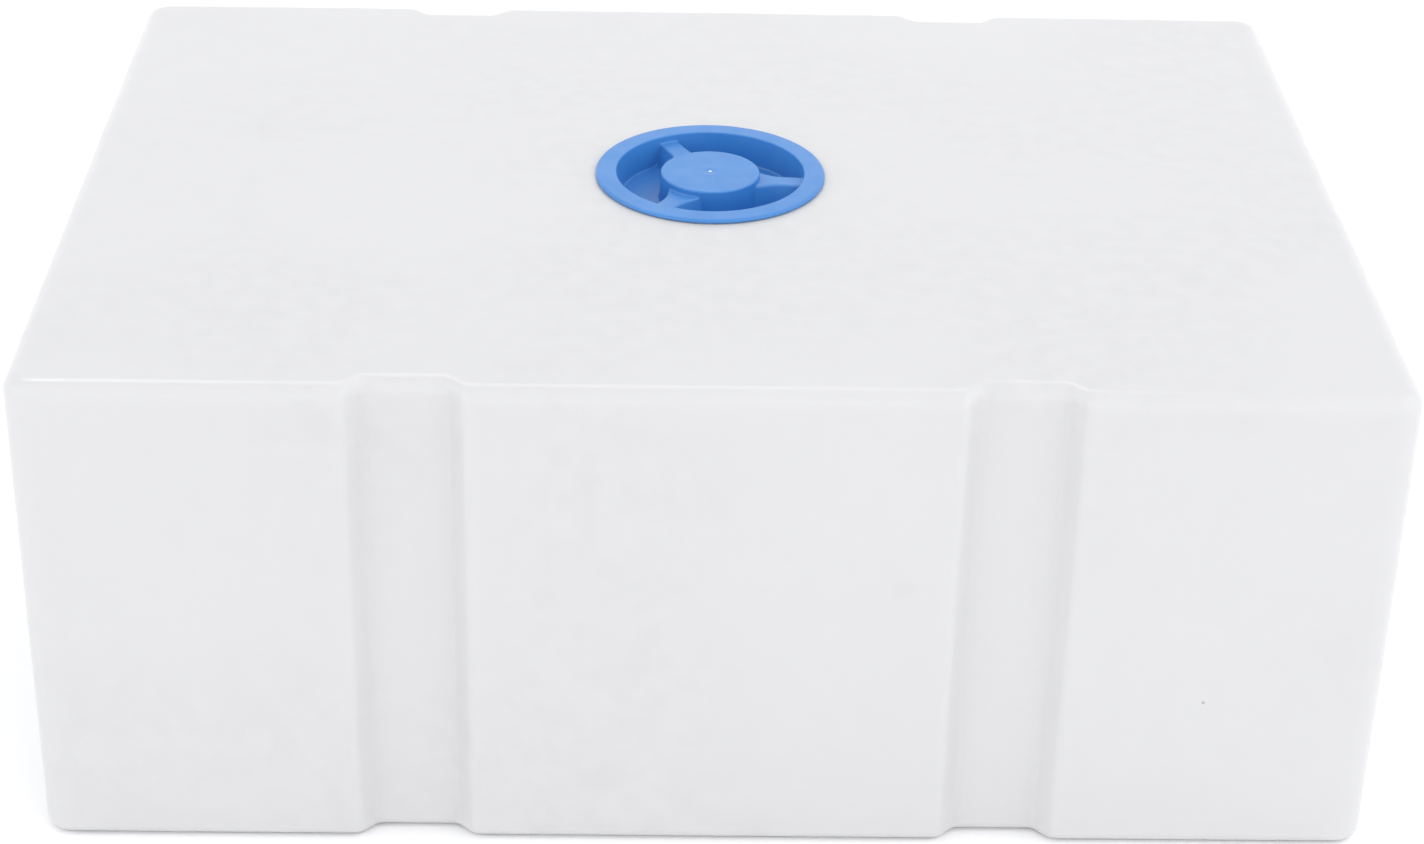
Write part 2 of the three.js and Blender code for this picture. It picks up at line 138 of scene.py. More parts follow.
# Parallel pipe threads: major and minor diameter and pitch.
PIPES = {
    "half": {"major": 20.955, "minor": 18.631, "pitch": 1.814},
    "three_quarter": {"major": 26.441, "minor": 24.117, "pitch": 1.814},
    "one_and_quarter": {"major": 41.91, "minor": 38.952, "pitch": 2.309},
}
PORTS = {"fill": "one_and_quarter", "vent": "half", "outlet": "three_quarter", "drain": "three_quarter"}
LOCK_WIDTH = 1.8  # from an insert's barrel to the flats of its hexagonal flange
LOCK_FROM, LOCK_TO = 7.0, 13.0
LOCK_BLUNT = 1.6  # off the flange's corners, which the shell's coarser pocket cuts short
INSERT_LENGTH = 20.0
INSERT_FACE = PAD_PROUD + 0.8
MOUTH_DEPTH = 3.0
BOSS_WALL = 9.0
BOSS_LENGTH = 25.0
PAD_MARGIN = 9.0
HOLE_MARGIN = 3.0  # flat skin round a pad before the grid's square hole
SPIGOT_LENGTH = 11.0
PLUG_WALL = 2.6
DISH_DEPTH = 2.0  # of the hollow in a plug's head
WASHER_THICKNESS = 2.4
THREAD_CLEARANCE = (0.2, 0.22)
THREAD_SHARES = (0.34, 0.1)  # half widths of root and crest, in pitches
THREAD_RINGS = 12  # rings that draw it, to a pitch
MALE_TURNS = 2.5

RING_POINTS = 96  # round the small turned pieces
BEND_STEPS = 4  # in a quarter round
FLOOR_LINES = 20  # from a spoke's foot to the middle between two spokes
CREASE = 38  # degrees between faces from which an edge is sharp
LID_POINTS = 180


# ---------------------------------------------------------------- mesh helpers


def smooth(share):
    share = np.clip(share, 0, 1)
    return share * share * (3 - 2 * share)


def rounded(corners, closed=True, steps=4):
    """A profile with arcs at its corners; a corner is (radius from the axis, height, rounding)."""
    points = []
    last = len(corners) - 1
    for i, (x, y, radius) in enumerate(corners):
        here = np.array((x, y), float)
        if not radius or (not closed and i in (0, last)):
            points.append(here)
            continue
        before = np.array(corners[i - 1][:2]) - here
        after = np.array(corners[(i + 1) % len(corners)][:2]) - here
        before = before / np.linalg.norm(before)
        after = after / np.linalg.norm(after)
        half = math.acos(np.clip(before @ after, -1, 1)) / 2
        middle = (before + after) / np.linalg.norm(before + after)
        centre = here + middle * radius / math.sin(half)
        start = here + before * radius / math.tan(half) - centre
        end = here + after * radius / math.tan(half) - centre
        bend = math.pi - 2 * half
        for k in range(steps + 1):
            share = k / steps
            arm = math.sin((1 - share) * bend) * start + math.sin(share * bend) * end
            points.append(centre + arm / math.sin(bend))
    return points


def ring(radius, height, angles):
    """One ring of a surface of revolution; the radius and the height may change round it."""
    height = np.broadcast_to(height, angles.shape)
    return np.stack([radius * np.cos(angles), radius * np.sin(angles), height], axis=1)


def loft(rings, closed=False):
    """The points and faces of a surface through rings of equal length. An end that isn't joined to the other
    is closed by a fan on the middle of its last ring."""
    count = len(rings[0])
    points = np.concatenate(rings)
    faces = []
    for a in range(len(rings) if closed else len(rings) - 1):
        b = (a + 1) % len(rings)
        for i in range(count):
            j = (i + 1) % count
            faces.append((a * count + i, a * count + j, b * count + j, b * count + i))
    if closed:
        return points, faces
    for start in (0, (len(rings) - 1) * count):
        middle = points[start : start + count].mean(axis=0)
        points = np.vstack([points, middle])
        pole = len(points) - 1
        faces += [(start + i, start + (i + 1) % count, pole) for i in range(count)]
    return points, faces


def turned(profile, angles):
    return [ring(r, z, angles) for r, z in profile]


def mesh_piece(name, shape, look, body, place=None):
    """One closed mesh piece from points in millimetres: welded, faces out, smooth but for its sharp edges. It
    replaces the CAD node of its own name."""
    points, faces = shape
    mesh = bpy.data.meshes.new(name)
    mesh.from_pydata((np.asarray(points) * MM).tolist(), [], faces)
    build = bmesh.new()
    build.from_mesh(mesh)
    bmesh.ops.remove_doubles(build, verts=build.verts, dist=1e-6)
    bmesh.ops.dissolve_degenerate(build, dist=1e-7, edges=build.edges)
    loose = [v for v in build.verts if not v.link_faces]
    bmesh.ops.delete(build, geom=loose, context="VERTS")
    bmesh.ops.recalc_face_normals(build, faces=build.faces)
    build.to_mesh(mesh)
    build.free()
    mesh.shade_smooth()
    mesh.set_sharp_from_angle(angle=math.radians(CREASE))
    mesh.materials.append(look)
    made = bpy.data.objects.new("visual_" + name, mesh)
    bpy.context.scene.collection.objects.link(made)
    weighted = made.modifiers.new("even shading", "WEIGHTED_NORMAL")
    weighted.keep_sharp = True
    if place is not None:
        made.matrix_world = place
    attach(made, body)
    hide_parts(name)
    return made


# ---------------------------------------------------------------- threads


def thread_height(angles, height, pitch, start, turns, halves, leadin):
    """How much of a thread's full height stands at one height on its axis, at each angle. The thread climbs
    one pitch a turn from its start, and grows and fades over its lead-in, in turns."""
    along = (height - start) / pitch - angles / TURN
    turn = np.round(along)
    off = np.abs(along - turn) * pitch
    wound = turn + angles / TURN
    rise = smooth((halves[0] - off) / (halves[0] - halves[1]))
    ends = np.minimum(wound, turns - wound) / leadin + 0.5
    return rise * smooth(ends)


def threaded(heights, base, depth, angles, **thread):
    """Rings of a wall with a thread that stands out from it, or in if the depth is negative."""
    return [ring(base + depth * thread_height(angles, z, **thread), z, angles) for z in heights]


# ---------------------------------------------------------------- tank shell

GROOVE_PROFILE = np.array(
    rounded(
        [
            (GROOVE_FLOOR_HALF + GROOVE_SLOPE + 9, 0, 0),
            (GROOVE_FLOOR_HALF + GROOVE_SLOPE, 0, GROOVE_LIP),
            (GROOVE_FLOOR_HALF, GROOVE_DEPTH, GROOVE_FILLET),
            (0, GROOVE_DEPTH, 0),
        ],
        closed=False,
        steps=5,
    )
)


def apart(stops):
    """The stops in order, without those that all but lie on the one before."""
    kept = []
    for stop in sorted(stops):
        if not kept or stop - kept[-1] > SAME_LINE:
            kept.append(stop)
    return kept


def grid_lines(half, stops, bands):
    """Grid lines across one side of the shell, as (place, share). A line with a share over 0 is in a corner's
    round part, and the share is the tangent of its angle. Bands are stretches with the finer step."""
    flat = half - PLUMB_RADIUS
    stops = apart([-flat, flat] + [s for s in stops if abs(s) < flat - 1])
    lines = []
    for a, b in zip(stops, stops[1:]):
        middle = (a + b) / 2
        fine = any(low <= middle <= high for low, high in bands)
        count = math.ceil((b - a) / (HOLE_STEP if fine else SKIN_STEP))
        lines += [(x, 0.0) for x in np.linspace(a, b, count, endpoint=False)]
    lines.append((flat, 0.0))
    shares = [math.tan(math.pi / 4 * k / CORNER_STEPS) for k in range(1, CORNER_STEPS + 1)]
    return [(-flat, s) for s in reversed(shares)] + lines + [(flat, s) for s in shares]


def crossing(line_x, line_y, radius):
    """Where two grid lines cross, on a plan whose corners have this radius."""
    (x, u), (y, v) = line_x, line_y
    scale = radius * max(u, v) / math.hypot(u, v) if u and v else radius
    return x + math.copysign(u * scale, x), y + math.copysign(v * scale, y)


def levels(stops, bands):
    """(inset, height) of each level up the shell's sides, round the bottom edge and the top one."""
    steps = [math.pi / 2 * k / CORNER_STEPS for k in range(CORNER_STEPS + 1)]
    up = [(BOTTOM_RADIUS * (1 - math.sin(a)), BOTTOM_RADIUS * (1 - math.cos(a))) for a in steps]
    stops = apart([BOTTOM_RADIUS, HEIGHT - TOP_RADIUS, *stops])
    for a, b in zip(stops, stops[1:]):
        fine = any(low <= (a + b) / 2 <= high for low, high in bands)
        count = math.ceil((b - a) / (HOLE_STEP if fine else SKIN_STEP))
        up += [(0.0, z) for z in np.linspace(a, b, count, endpoint=False)[1 if up[-1][1] >= a else 0 :]]
    start = HEIGHT - TOP_RADIUS
    return up + [(TOP_RADIUS * (1 - math.cos(a)), start + TOP_RADIUS * math.sin(a)) for a in steps]


class Hole:
    """A round way through the shell: its face's axis and side, its centre, and the profile from the outer
    skin to the inner one, as (radius at each angle, depth)."""

    def __init__(self, axis, side, centre, skin_radius, profile):
        self.axis, self.side = axis, side
        self.across = [k for k in range(3) if k != axis]
        self.centre = np.array(centre)
        self.skin_radius = skin_radius
        self.square = skin_radius + HOLE_MARGIN
        self.profile = profile
        self.face = {0: HALF_LENGTH, 2: HEIGHT}[axis]

    def reach(self, k):
        return self.centre[k] - self.square, self.centre[k] + self.square

    def holds(self, middles):
        """Which faces' middles lie in the hole's square."""
        near = middles[:, self.axis] * self.side > self.face - 0.5
        off = np.abs(middles[:, self.across] - self.centre)
        return near & (off < self.square).all(axis=1)

    def points(self, radius, depth, angles):
        made = np.empty((len(angles), 3))
        made[:, self.across[0]] = self.centre[0] + radius * np.cos(angles)
        made[:, self.across[1]] = self.centre[1] + radius * np.sin(angles)
        made[:, self.axis] = self.side * (self.face + depth)
        return made


def port_sizes(name):
    """(its end of the tank, its axis across the tank and up, its insert's barrel radius, its pipe size)"""
    low, high = box_mm(name + "_insert")
    middle = (low + high) / 2
    barrel = (high[1] - low[1]) / 2 - LOCK_WIDTH
    return int(math.copysign(1, middle[0])), middle[1], middle[2], barrel, PIPES[PORTS[name]]


def hexagon(across_flats, angles, corner=0.0, rounding=0.0):
    """Radius of a hexagon at each angle, with a corner at the angle asked for."""
    off = (angles - corner) % (TURN / 6) - TURN / 12
    apothem = across_flats / 2
    return np.minimum(apothem / np.cos(off), apothem * 2 / math.sqrt(3) - rounding)


def port_hole(name):
    side, y, z, barrel, pipe = port_sizes(name)
    seat = barrel + GAP
    outer = barrel + BOSS_WALL
    pad = barrel + PAD_MARGIN
    skin = pad + HOLE_MARGIN
    bore = pipe["minor"] / 2
    outside = rounded(
        [
            (skin, 0, 0),
            (pad, 0, 0.8),
            (pad, PAD_PROUD, 0.6),
            (seat, PAD_PROUD, 0.4),
            (seat, -LOCK_FROM + GAP, 0),
        ],
        closed=False,
    )
    inside = rounded(
        [
            (seat, -LOCK_TO - GAP, 0),
            (seat, -INSERT_LENGTH - GAP, 0),
            (bore, -INSERT_LENGTH - GAP, 0),
            (bore, -BOSS_LENGTH, 0.6),
            (outer, -BOSS_LENGTH, 3),
            (outer, -WALL, 1.5),
            (skin, -WALL, 0),
        ],
        closed=False,
    )
    key = 2 * (barrel + LOCK_WIDTH + GAP)
    flange = [(key, -LOCK_FROM + GAP), (key, -LOCK_TO - GAP)]
    profile = [(lambda t, r=r: r, d) for r, d in outside[1:]]
    profile += [(lambda t, a=a: hexagon(a, t, corner=TURN / 4), d) for a, d in flange]
    profile += [(lambda t, r=r: r, d) for r, d in inside[:-1]]
    return Hole(0, side, (y, z), skin, profile)


def neck_hole():
    seat = NECK_OUTER + GAP
    key = NECK_KEY + GAP
    key_top = -NECK_KEY_TOP + GAP
    key_bottom = -NECK_KEY_TOP - NECK_KEY_THICKNESS - GAP
    collar = NECK_KEY + NECK_COLLAR
    corners = [
        (NECK_SKIN, 0, 0),
        (seat, 0, 0.5),
        (seat, key_top, 0),
        (key, key_top, 0),
        (key, key_bottom, 0),
        (seat, key_bottom, 0),
        (seat, -NECK_DEPTH, 0.8),
        (collar, -NECK_DEPTH, 4),
        (collar, -WALL, 2),
        (NECK_SKIN, -WALL, 0),
    ]
    profile = [(lambda t, r=r: r, d) for r, d in rounded(corners, closed=False)[1:-1]]
    return Hole(2, 1, (0.0, 0.0), NECK_SKIN, profile)


def settle(points, holes):
    """The skin's points moved in from the plain block: strap grooves, a slight crown and waviness."""
    made = points.copy()
    x, y, z = points.T
    off = np.abs(np.abs(x) - GROOVE_X)
    profile = GROOVE_PROFILE[::-1]
    depth = np.interp(off, profile[:, 0], profile[:, 1])
    start, whole = GROOVE_FADE
    grow = smooth((np.abs(y) - HALF_DEPTH + start) / (start - whole))
    made[:, 1] -= np.sign(y) * depth * grow

    along = np.abs(x) / HALF_LENGTH
    over = np.abs(y) / HALF_DEPTH
    made[:, 2] -= CROWN * (0.6 * along**4 + 0.4 * over**4) * smooth(z / HEIGHT)
    made[:, 1] -= np.sign(y) * BOW * along**4 * grow

    calm = np.ones(len(points))
    for hole in holes:
        reach = np.linalg.norm(points[:, hole.across] - hole.centre, axis=1)
        near = np.abs(points[:, hole.axis] - hole.side * hole.face) < HOLE_STEP + TOP_RADIUS
        calm = np.where(near, np.minimum(calm, smooth((reach - hole.skin_radius) / 60)), calm)
    sway = np.array([noise.noise(Vector(p) / WAVE_LENGTH) for p in points])
    wave = WAVE * (0.5 + 0.5 * sway) * calm
    face = {0: HALF_LENGTH, 1: HALF_DEPTH}
    for k, half in face.items():
        close = smooth((np.abs(points[:, k]) - half + 80) / 60)
        made[:, k] -= np.sign(points[:, k]) * wave * close
    made[:, 2] -= wave * smooth((z - HEIGHT + 60) / 40)
    return made


def outer_skin(holes):
    """Points and faces of the plain block's outer skin, with a square left out round each hole."""
    lips = [s * GROOVE_X + d for s in (-1, 1) for p in GROOVE_PROFILE for d in (-p[0], p[0])]
    neck, *ports = holes
    square = neck.reach(0)
    x_lines = grid_lines(HALF_LENGTH, [*lips, *square], [square])
    y_bands = [square] + [p.reach(0) for p in ports]
    y_lines = grid_lines(HALF_DEPTH, [v for band in y_bands for v in band], y_bands)
    z_bands = [p.reach(1) for p in ports]
    sides = levels([v for band in z_bands for v in band], z_bands)

    nx, ny = len(x_lines), len(y_lines)
    loop = [(i, 0) for i in range(nx)] + [(nx - 1, j) for j in range(1, ny)]
    loop += [(i, ny - 1) for i in range(nx - 2, -1, -1)] + [(0, j) for j in range(ny - 2, 0, -1)]
    points, faces = [], []
    for inset, z in sides:
        for i, j in loop:
            points.append((*crossing(x_lines[i], y_lines[j], PLUMB_RADIUS - inset), z))
    around = len(loop)
    for k in range(len(sides) - 1):
        for m in range(around):
            n = (m + 1) % around
            faces.append([k * around + m, k * around + n, (k + 1) * around + n, (k + 1) * around + m])
    for level, (inset, z) in ((0, sides[0]), (len(sides) - 1, sides[-1])):
        number = {cell: level * around + m for m, cell in enumerate(loop)}
        for i in range(1, nx - 1):
            for j in range(1, ny - 1):
                number[i, j] = len(points)
                points.append((*crossing(x_lines[i], y_lines[j], PLUMB_RADIUS - inset), z))
        for i in range(nx - 1):
            for j in range(ny - 1):
                cell = [number[i, j], number[i + 1, j], number[i + 1, j + 1], number[i, j + 1]]
                faces.append(cell if level else cell[::-1])
    return np.array(points), faces


def skin_normals(points, faces):
    corners = points[np.array(faces)]
    flat = np.cross(corners[:, 2] - corners[:, 0], corners[:, 3] - corners[:, 1])
    normals = np.zeros_like(points)
    for k in range(4):
        np.add.at(normals, np.array(faces)[:, k], flat)
    length = np.linalg.norm(normals, axis=1, keepdims=True)
    return normals / np.maximum(length, 1e-9)


def tank_shell_shape():
    """The whole shell in one surface: outer skin, the ways through it, and inner skin a wall further in."""
    holes = [neck_hole()] + [port_hole(name) for name in PORTS]
    points, faces = outer_skin(holes)
    points = list(points)
    edges = []
    for hole in holes:
        middles = np.array(points)[np.array(faces)].mean(axis=1)
        taken = hole.holds(middles)
        dropped = {v for face, out in zip(faces, taken) if out for v in face}
        faces = [face for face, out in zip(faces, taken) if not out]
        border = sorted(dropped & {v for face in faces for v in face})
        flat = np.array([points[v] for v in border])[:, hole.across] - hole.centre
        angles = np.arctan2(flat[:, 1], flat[:, 0])
        order = np.argsort(angles)
        loop, flat, angles = [border[k] for k in order], flat[order], angles[order]
        round_edge = hole.skin_radius * np.stack([np.cos(angles), np.sin(angles)], axis=1)
        steps = 4
        for k in range(1, steps + 1):
            mixed = flat + (round_edge - flat) * k / steps
            start = len(points)
            made = hole.points(np.hypot(*mixed.T), 0.0, np.arctan2(mixed[:, 1], mixed[:, 0]))
            points += list(made)
            inner = list(range(start, start + len(loop)))
            turn = range(len(loop))
            faces += [[loop[m], loop[m - 1], inner[m - 1], inner[m]] for m in turn]
            loop = inner
        edges.append((hole, loop, angles))
    plain = np.array(points)
    flip = skin_normals(plain, faces)
    outwards = np.sum(flip * (plain - [0, 0, HEIGHT / 2]), axis=1)
    faces = [face if outwards[face].sum() > 0 else face[::-1] for face in faces]
    outer = settle(plain, holes)
    inner = outer - WALL * skin_normals(outer, faces)
    count = len(outer)
    points = list(outer) + list(inner)
    faces = faces + [[v + count for v in face[::-1]] for face in faces]
    for hole, loop, angles in edges:
        last = loop
        turn = range(len(loop))
        for radius, depth in hole.profile:
            start = len(points)
            points += list(hole.points(radius(angles), depth, angles))
            following = list(range(start, start + len(loop)))
            faces += [[last[m], last[m - 1], following[m - 1], following[m]] for m in turn]
            last = following
        inside = [v + count for v in loop]
        faces += [[last[m], last[m - 1], inside[m - 1], inside[m]] for m in turn]
    return np.array(points), faces


# ---------------------------------------------------------------- lid


def spoke_half_width(radius):
    """Half width of a spoke at a distance from the lid's axis: flared at the hub."""
    share = np.clip((radius - SPOKE_FLARE_START) / SPOKE_FLARE, 0, 1)
    return SPOKE_TIP + (SPOKE_ROOT - SPOKE_TIP) * (1 - share) ** 2


class SpokeLines:
    """The lid's lines round its axis, placed along the spokes' sides: each has a height, and an angle that
    depends on the distance from the axis."""

    def __init__(self, inset, top, floor, edge, draft, foot):
        lines = [(share, 0.0, top) for share in (0.0, 0.35, 0.7)]
        for bend in bends():
            lines.append((1.0, -edge + edge * math.sin(bend), top - edge + edge * math.cos(bend)))
        for k in (1, 2):
            share = k / 3
            lines.append((1.0, draft * share, top - edge + (floor + foot - top + edge) * share))
        for bend in bends():
            lines.append((1.0, draft + foot - foot * math.cos(bend), floor + foot - foot * math.sin(bend)))
        self.inset = inset
        self.sides = [line[:2] for line in lines]
        half = [line[2] for line in lines] + [floor] * FLOOR_LINES
        one = half + half[-2:0:-1]
        self.level = np.array(one * SPOKE_COUNT)

    def angles(self, radius):
        """The lines' angles on a circle, or each line's angle at a distance of its own."""
        sector = TURN / SPOKE_COUNT
        per_sector = len(self.level) // SPOKE_COUNT
        radius = np.broadcast_to(np.asarray(radius, float), self.level.shape)
        width = spoke_half_width(radius) - self.inset
        made = np.empty(len(self.level))
        side_count = len(self.sides)
        half_count = side_count + FLOOR_LINES
        for n in range(len(self.level)):
            where = n % per_sector
            mirrored = where >= half_count
            k = per_sector - where if mirrored else where
            if k < side_count:
                share, extra = self.sides[k]
                turn = math.asin(min(1, (share * width[n] + extra) / radius[n]))
            else:
                share, extra = self.sides[-1]
                foot = math.asin((share * width[n] + extra) / radius[n])
                part = (k - side_count + 1) / FLOOR_LINES
                turn = foot + (sector / 2 - foot) * part
            middle = SPOKE_ANGLE + sector * (n // per_sector)
            made[n] = middle + sector - turn if mirrored else middle + turn
        return made


def bowl_radius(height):
    share = (height - BOWL_FLOOR) / (LID_TOP - BOWL_FLOOR)
    return BOWL_FLOOR_RADIUS + (RIM_RADIUS - BOWL_FLOOR_RADIUS) * share


def bends():
    return [math.pi / 2 * k / BEND_STEPS for k in range(BEND_STEPS + 1)]


def lid_face(lines):
    """Rings of the lid's upper side, from its middle out to the flange's underside."""
    level = lines.level
    hub_edge, hub_foot, bowl_foot, rim = 1.4, 1.2, 1.4, 1.0
    at_hub = lines.angles(HUB_RADIUS + HUB_DRAFT)
    at_bowl = lines.angles(BOWL_FLOOR_RADIUS)
    rings = []

    # The gate mark: a small nub in a shallow dish.
    for radius, drop in ((0.7, 0.0), (1.2, 0.1), (1.6, 0.4), (2.6, 0.45), (3.8, 0.3), (4.8, 0.05), (6, 0)):
        rings.append(ring(radius, HUB_TOP - drop, at_hub))
    for radius in (14.0, 24.0):
        rings.append(ring(radius, HUB_TOP, at_hub))
    for bend in bends():
        radius = HUB_RADIUS - hub_edge + hub_edge * math.sin(bend)
        rings.append(ring(radius, HUB_TOP - hub_edge + hub_edge * math.cos(bend), at_hub))
    wall_top = HUB_TOP - hub_edge
    for share in (0.33, 0.67):
        height = wall_top + (level + hub_foot - wall_top) * share
        radius = HUB_RADIUS + HUB_DRAFT * (wall_top - height) / (wall_top - BOWL_FLOOR)
        rings.append(ring(radius, height, lines.angles(radius)))
    foot_radius = HUB_RADIUS + HUB_DRAFT * (wall_top - level - hub_foot) / (wall_top - BOWL_FLOOR)
    for bend in bends():
        radius = foot_radius + hub_foot * (1 - math.cos(bend))
        height = level + hub_foot * (1 - math.sin(bend))
        rings.append(ring(radius, height, lines.angles(radius)))

    start = foot_radius + hub_foot
    wall_foot = bowl_radius(level + bowl_foot)
    end = wall_foot - bowl_foot
    span = 14
    for k in range(1, span):
        radius = start + (end - start) * k / span
        rings.append(ring(radius, level, lines.angles(radius)))
    for bend in bends():
        radius = end + bowl_foot * math.sin(bend)
        height = level + bowl_foot * (1 - math.cos(bend))
        rings.append(ring(radius, height, lines.angles(np.minimum(radius, BOWL_FLOOR_RADIUS))))
    wall_end = LID_TOP - rim
    for share in (0.33, 0.67):
        height = level + bowl_foot + (wall_end - level - bowl_foot) * share
        rings.append(ring(bowl_radius(height), height, at_bowl))
    for bend in bends():
        radius = bowl_radius(wall_end) + rim * (1 - math.cos(bend))
        rings.append(ring(radius, wall_end + rim * math.sin(bend), at_bowl))

    edge = [(73.0, LID_TOP, 0), (FLANGE_RADIUS, LID_TOP, 2.2), (FLANGE_RADIUS, FLANGE_UNDER, 0.6)]
    thread_root = LID_THREAD["root"]
    edge += [(thread_root, FLANGE_UNDER, 0.8), (thread_root, FLANGE_UNDER - 3, 0)]
    rings += turned(rounded(edge, closed=False), at_bowl)
    return rings


def lid_underside(lines, angles):
    """Rings from the cup's wall in to the middle: a hollow under each spoke and one under the hub."""
    hollow_out, hollow_in, hub_in = BOWL_FLOOR_RADIUS - 1.5, HUB_RADIUS - 1, HUB_RADIUS - SKIN
    edge = rounded(
        [(LID_THREAD["root"], CUP_BOTTOM + 3, 0), (LID_THREAD["root"], CUP_BOTTOM, 1), (66.0, CUP_BOTTOM, 0)],
        closed=False,
    )
    rings = turned(edge, angles)
    out, into = lines.angles(hollow_out), lines.angles(hollow_in)
    rings.append(ring(hollow_out + 0.4, CUP_BOTTOM, out))
    for share in (0.1, 0.5, 0.9, 1.0):
        height = CUP_BOTTOM + (lines.level - CUP_BOTTOM) * share
        rings.append(ring(hollow_out - 0.5 * share, height, out))
    for k in range(1, 8):
        radius = hollow_out - 0.5 + (hollow_in + 1.0 - hollow_out) * k / 8
        rings.append(ring(radius, lines.level, lines.angles(radius)))
    for share in (1.0, 0.9, 0.5, 0.1):
        height = CUP_BOTTOM + (lines.level - CUP_BOTTOM) * share
        rings.append(ring(hollow_in + 0.5 * share, height, into))
    rings.append(ring(hollow_in - 0.3, CUP_BOTTOM, into))
    roof = LID_TOP - SKIN
    hub = [(hollow_in - 0.5, CUP_BOTTOM, 0), (hub_in, CUP_BOTTOM, 0.5), (hub_in, roof, 1.2), (0, roof, 0)]
    rings += turned(rounded(hub, closed=False)[1:-1], into)
    rings += turned([(20, roof), (8, roof), (2, roof)], into)
    return rings


def screw_lid_shape():
    top = SpokeLines(-0.8, SPOKE_TOP, BOWL_FLOOR, edge=2.0, draft=3.0, foot=4.0)
    under = SpokeLines(SPOKE_RIB, SPOKE_TOP - SPOKE_RIB, CUP_BOTTOM, edge=1.2, draft=0.3, foot=0.6)
    at_bowl = top.angles(BOWL_FLOOR_RADIUS)
    depth = LID_THREAD["crest"] - LID_THREAD["root"]
    heights = np.arange(FLANGE_UNDER - 3.4, CUP_BOTTOM + 3.1, -LID_THREAD_STEP)
    wall = threaded(
        heights,
        LID_THREAD["root"],
        depth,
        at_bowl,
        pitch=LID_THREAD["pitch"],
        start=LID_THREAD["start"],
        turns=LID_THREAD["turns"],
        halves=LID_THREAD_HALF,
        leadin=0.08,
    )
    return loft(lid_face(top) + wall + lid_underside(under, at_bowl))


# ---------------------------------------------------------------- neck ring and gasket


def neck_ring_shape():
    angles = np.arange(LID_POINTS) * TURN / LID_POINTS
    crest_gap, flank_gap = LID_THREAD_CLEARANCE
    bore = LID_THREAD["root"] + crest_gap
    depth = LID_THREAD["crest"] - LID_THREAD["root"]
    pitch = LID_THREAD["pitch"]
    top, seat = HEIGHT - GAP, HEIGHT - SEAT_DEPTH
    bottom, key_top = HEIGHT - NECK_DEPTH, HEIGHT - NECK_KEY_TOP
    key_bottom = key_top - NECK_KEY_THICKNESS
    outside = rounded(
        [
            (bore, bottom + 1.5, 0),
            (bore, bottom, 0.5),
            (NECK_OUTER, bottom, 0.8),
            (NECK_OUTER, key_bottom, 0.3),
            (NECK_KEY, key_bottom, 0.6),
            (NECK_KEY, key_top, 0.6),
            (NECK_OUTER, key_top, 0.3),
            (NECK_OUTER, top, 0.5),
            (SEAT_RADIUS, top, 0.4),
            (SEAT_RADIUS, seat, 0.2),
            (bore + depth + 0.5, seat, 0),
        ],
        closed=False,
    )
    # The groove runs out at the seat, so that the lid's thread can come in.
    heights = np.arange(seat, bottom + 1.8, -LID_THREAD_STEP)
    thread = threaded(
        heights,
        bore,
        depth,
        angles,
        pitch=pitch,
        start=LID_THREAD["start"] - pitch,  # a whole turn early, to be at full depth where the lid's begins
        turns=9.0,
        halves=(LID_THREAD_HALF[0] + flank_gap, LID_THREAD_HALF[1] + flank_gap),
        leadin=0.5,
    )
    return loft(turned(outside, angles) + thread, closed=True)


def gasket_shape():
    angles = np.arange(LID_POINTS) * TURN / LID_POINTS
    low, high = box_mm("lid_gasket")
    inner, outer = high[0] - 3.2, high[0]
    corners = [(inner, low[2], 0.5), (outer, low[2], 0.5), (outer, high[2], 0.7), (inner, high[2], 0.7)]
    return loft(turned(rounded(corners), angles), closed=True)


# ---------------------------------------------------------------- port pieces


def pipe_thread(pipe):
    """Radii of a plug's thread and of the insert's around it."""
    clearance = THREAD_CLEARANCE[0]
    return {
        "core": pipe["minor"] / 2 - clearance,
        "crest": pipe["major"] / 2 - clearance,
        "bore": pipe["minor"] / 2 + clearance,
        "root": pipe["major"] / 2 + clearance,
        "start": INSERT_FACE - SPIGOT_LENGTH + 2.2,
    }


def small_angles():
    return np.arange(RING_POINTS) * TURN / RING_POINTS


def insert_shape(barrel, pipe):
    angles = small_angles()
    thread = pipe_thread(pipe)
    bore = thread["bore"]
    flank_gap = THREAD_CLEARANCE[1]
    mouth = thread["root"] + 0.3
    mouth_floor = INSERT_FACE - MOUTH_DEPTH
    back = -INSERT_LENGTH
    front = rounded(
        [
            (thread["root"] + 0.1, mouth_floor, 0),
            (mouth, mouth_floor, 0.1),
            (mouth, INSERT_FACE, 0.35),
            (barrel, INSERT_FACE, 0.5),
            (barrel, -LOCK_FROM, 0),
        ],
        closed=False,
    )
    flange = 2 * (barrel + LOCK_WIDTH)
    rings = turned(front, angles)
    rings += [ring(hexagon(flange, angles, rounding=LOCK_BLUNT), z, angles) for z in (-LOCK_FROM, -LOCK_TO)]
    rear = [(barrel, -LOCK_TO, 0), (barrel, back, 0.8), (bore, back, 0.6), (bore, back + 1.5, 0)]
    rings += turned(rounded(rear, closed=False), angles)
    pitch = pipe["pitch"]
    halves = [share * pitch + flank_gap for share in THREAD_SHARES]
    first = thread["start"] - 0.5 * pitch
    # The groove runs out at the mouth's floor, so that the plug's thread can come in.
    heights = np.arange(mouth_floor, back + 1.9, -pitch / THREAD_RINGS)[::-1]
    rings += threaded(
        heights,
        bore,
        thread["root"] - bore,
        angles,
        pitch=pitch,
        start=thread["start"] - 2 * pitch,
        turns=(mouth_floor - first) / pitch + 3,
        halves=halves,
        leadin=0.5,
    )
    return loft(rings, closed=True)


